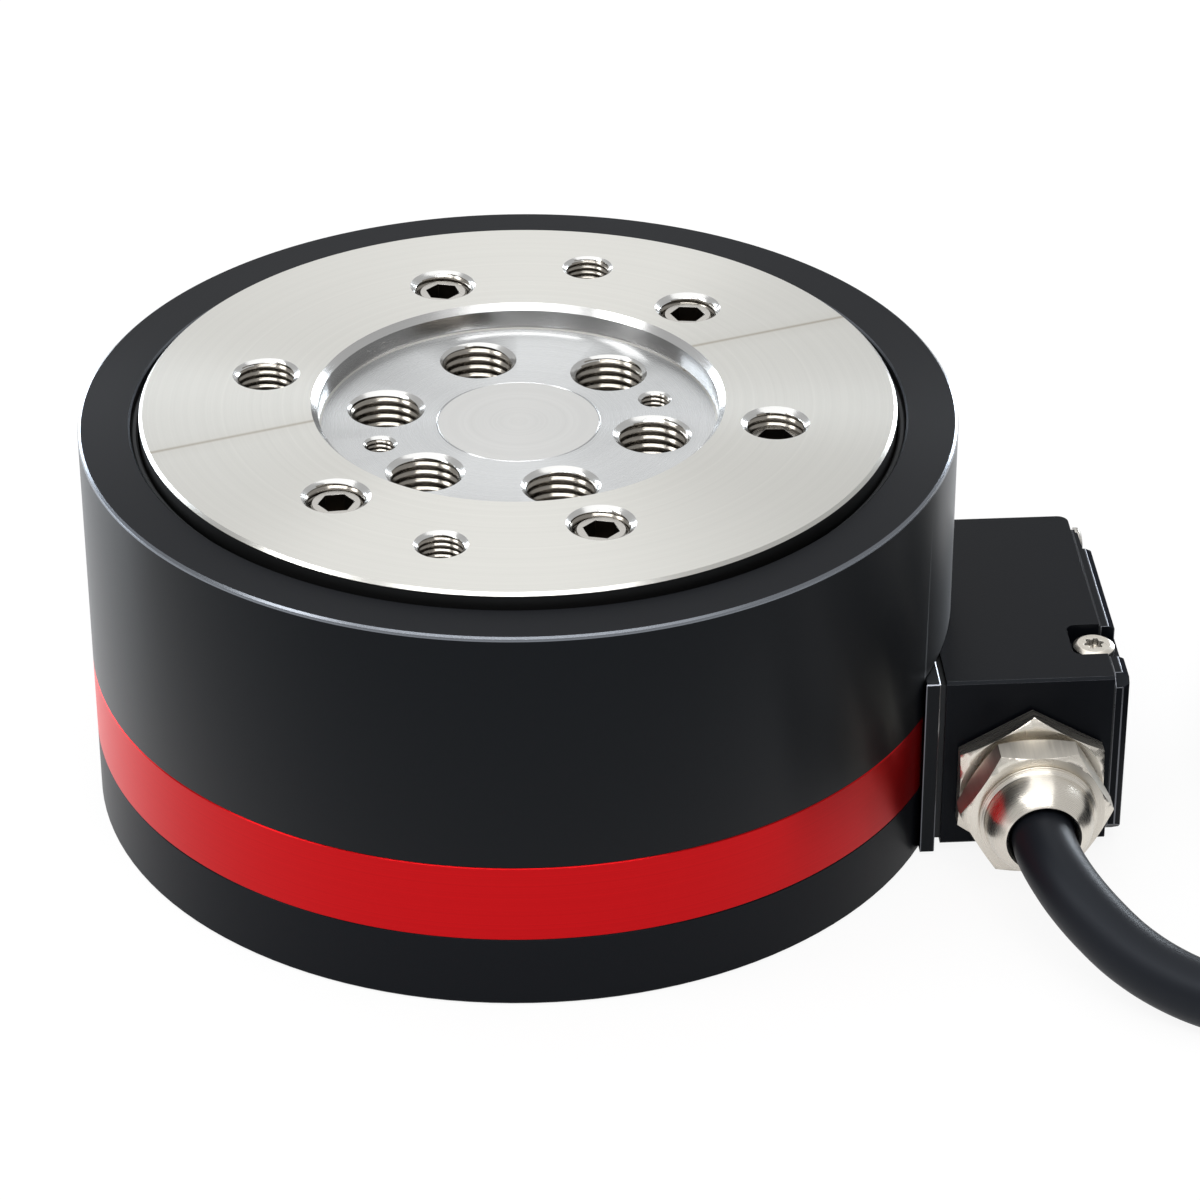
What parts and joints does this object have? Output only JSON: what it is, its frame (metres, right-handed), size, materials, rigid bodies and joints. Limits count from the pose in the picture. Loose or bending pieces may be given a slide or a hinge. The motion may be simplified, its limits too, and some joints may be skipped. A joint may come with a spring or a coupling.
{
  "type": "force torque sensor",
  "caption": "Round six-axis force torque sensor with a steel tool flange, black housing with a red ring, side connector box, cable gland and a coiled cable with a round plug.",
  "frame": {"origin": "centre of the robot-side face", "axes": "+Z towards the tool-side face, +X towards the connector box"},
  "size_m": [0.3442, 0.1754, 0.068],
  "materials": {
    "black_anodised": "black anodised, satin",
    "black_box": "black anodised, fine matt",
    "red_anodised": "red anodised, fine turned lines",
    "bare_aluminium": "turned",
    "stainless": "turned stainless steel",
    "screw_steel": "plain steel",
    "dark_steel": "black oxide",
    "nickel": "nickel-plated brass",
    "brass": "plain brass",
    "rubber": "matt black rubber",
    "cable_jacket": "black satin polyurethane",
    "black_plastic": "matt black",
    "pale_plastic": "pale moulded plastic",
    "green_plastic": "green moulded plastic",
    "circuit_board": "green solder mask",
    "conductor": "insulated wire",
    "gauge_foil": "polyimide foil"
  },
  "bodies": {
    "root": {"base_flange": "black_anodised", "base_cover": "bare_aluminium", "base_cover_gasket": "rubber", "base_cover_screws": "screw_steel", "base_seal": "rubber", "accent_ring": "red_anodised", "shell_seal": "rubber", "upper_shell": "black_anodised", "shell_screws": "dark_steel", "measuring_body": "stainless", "measuring_body_screws": "dark_steel", "strain_gauges": "gauge_foil", "overload_pins": "screw_steel", "tool_flange": "stainless", "flange_seal": "rubber", "set_screws": "screw_steel", "hub_screws": "dark_steel", "hub_dowels": "screw_steel", "amplifier_board": "circuit_board", "board_chips": "black_plastic", "board_connector": "pale_plastic", "board_standoffs": "brass", "board_screws": "screw_steel", "sensor_lead": "cable_jacket", "box_mount_plate": "black_anodised", "box_seal": "rubber", "connector_box": "black_box", "box_screws": "screw_steel", "side_cover": "black_box", "side_cover_gasket": "rubber", "cover_screws": "screw_steel", "cover_side_screws": "screw_steel", "terminal_board": "circuit_board", "terminal_block": "green_plastic", "terminal_screws": "screw_steel", "gland_washer": "rubber", "gland_body": "nickel", "gland_lock_nut": "nickel", "gland_seal": "rubber", "gland_cap_nut": "nickel", "cable_conductors": "conductor", "cable": "cable_jacket", "cable_coil": "cable_jacket", "coil_tie": "black_plastic", "cable_tail": "cable_jacket", "plug_boot": "rubber", "plug_shell": "nickel", "plug_ring": "nickel", "plug_insert": "black_plastic", "plug_pins": "brass"}
  },
  "joints": []
}
